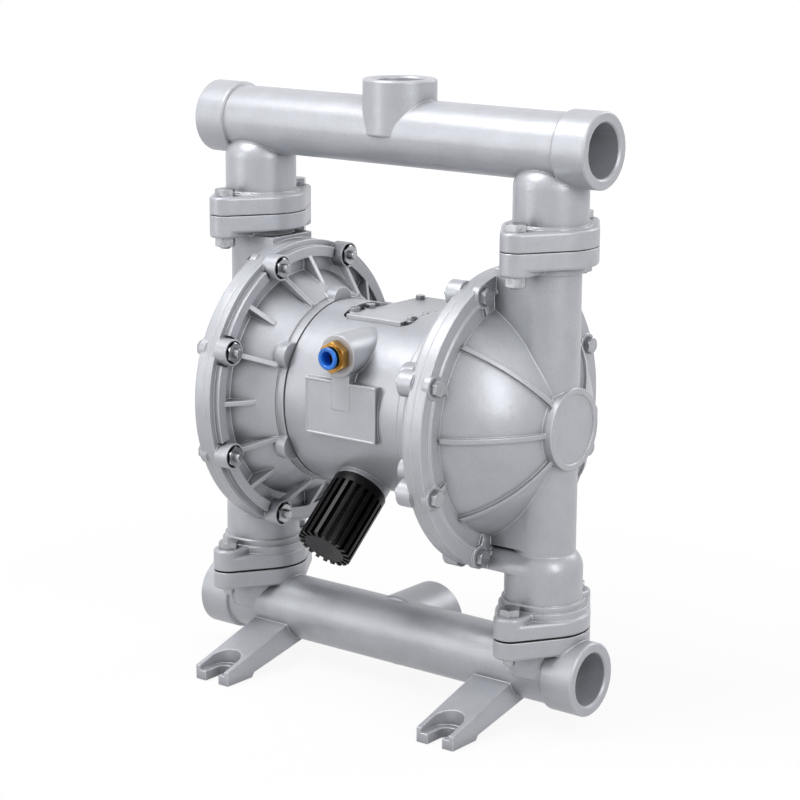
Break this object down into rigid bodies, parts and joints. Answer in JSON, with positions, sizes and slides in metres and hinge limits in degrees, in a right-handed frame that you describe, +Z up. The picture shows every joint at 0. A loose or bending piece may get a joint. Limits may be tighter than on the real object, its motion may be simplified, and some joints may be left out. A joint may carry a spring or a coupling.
{
  "type": "air operated diaphragm pump",
  "caption": "Cast aluminium air operated double diaphragm pump: two domed chambers on a round body, ball check valves, flanged manifolds, slotted feet.",
  "frame": {"origin": "on the floor, under the middle of the centre body and at the centre of the foot slots", "axes": "+X along the manifolds to the right-hand end, -Y the front with the air inlet and muffler, +Z up"},
  "size_m": [0.41, 0.254, 0.5317],
  "materials": {
    "cast_aluminium": "sand-blasted silver, fine speckle",
    "steel": "zinc plated, bright",
    "bright_steel": "ground and polished",
    "brass": "turned",
    "bronze": "machined",
    "blue_plastic": "smooth",
    "black_plastic": "moulded, matte",
    "grey_plastic": "sintered, matte",
    "white_plastic": "machined, matte",
    "black_rubber": "moulded"
  },
  "bodies": {
    "casing": {"outlet_manifold": "cast_aluminium", "inlet_manifold": "cast_aluminium", "right_liquid_cover": "cast_aluminium", "left_liquid_cover": "cast_aluminium", "right_air_chamber": "cast_aluminium", "left_air_chamber": "cast_aluminium", "center_body": "cast_aluminium", "valve_cover": "cast_aluminium", "right_body_gasket": "black_rubber", "left_body_gasket": "black_rubber", "valve_cover_gasket": "black_rubber", "outlet_seat_right": "white_plastic", "outlet_seat_left": "white_plastic", "inlet_seat_right": "white_plastic", "inlet_seat_left": "white_plastic", "outlet_seat_orings": "black_rubber", "inlet_seat_orings": "black_rubber", "right_diaphragm": "black_rubber", "left_diaphragm": "black_rubber", "shaft_bush_right": "bronze", "shaft_bush_left": "bronze", "shaft_seal_right": "black_rubber", "shaft_seal_left": "black_rubber", "pilot_sleeve": "bronze", "spool_sleeve": "steel", "spool_plug_front": "steel", "spool_plug_rear": "steel", "valve_cover_bolts": "steel", "fitting_body": "brass", "muffler_housing": "black_plastic", "muffler_element": "grey_plastic", "muffler_nipple": "black_plastic", "chamber_bolts_right": "steel", "chamber_bolts_left": "steel", "chamber_nuts_right": "steel", "chamber_nuts_left": "steel", "body_screws_right": "steel", "body_screws_left": "steel", "upper_joint_bolts": "steel", "upper_joint_nuts": "steel", "lower_joint_bolts": "steel"},
    "diaphragm_drive": {"diaphragm_shaft": "bright_steel", "inner_plate_right": "cast_aluminium", "inner_plate_left": "cast_aluminium", "outer_plate_right": "cast_aluminium", "outer_plate_left": "cast_aluminium", "shaft_nuts": "steel"},
    "pilot": {"pilot_pin": "bright_steel"},
    "spool": {"main_spool": "white_plastic"},
    "ball_outlet_right": {"outlet_ball_right": "white_plastic"},
    "ball_outlet_left": {"outlet_ball_left": "white_plastic"},
    "ball_inlet_right": {"inlet_ball_right": "white_plastic"},
    "ball_inlet_left": {"inlet_ball_left": "white_plastic"},
    "release": {"release_ring": "blue_plastic"}
  },
  "joints": [
    {"name": "shaft_stroke", "type": "slide", "parent": "casing", "child": "diaphragm_drive", "axis": [1, 0, 0], "range_m": [-0.012, 0.012], "deforming": ["right_diaphragm", "left_diaphragm"]},
    {"name": "pilot_shift", "type": "slide", "parent": "casing", "child": "pilot", "axis": [1, 0, 0], "range_m": [-0.004, 0.004]},
    {"name": "spool_shift", "type": "slide", "parent": "casing", "child": "spool", "axis": [0, 1, 0], "range_m": [-0.008, 0.008]},
    {"name": "outlet_ball_right_lift", "type": "slide", "parent": "casing", "child": "ball_outlet_right", "axis": [0, 0, 1], "range_m": [0, 0.008]},
    {"name": "outlet_ball_left_lift", "type": "slide", "parent": "casing", "child": "ball_outlet_left", "axis": [0, 0, 1], "range_m": [0, 0.008]},
    {"name": "inlet_ball_right_lift", "type": "slide", "parent": "casing", "child": "ball_inlet_right", "axis": [0, 0, 1], "range_m": [0, 0.008]},
    {"name": "inlet_ball_left_lift", "type": "slide", "parent": "casing", "child": "ball_inlet_left", "axis": [0, 0, 1], "range_m": [0, 0.008]},
    {"name": "release_ring_press", "type": "slide", "parent": "casing", "child": "release", "axis": [0, 1, 0], "range_m": [0, 0.0015], "stiffness_N_per_m": 1500, "springref_m": -0.0015}
  ],
  "couplings": [
    {"joint": "pilot_shift", "follows": "shaft_stroke", "ratio": 0.33333}
  ]
}
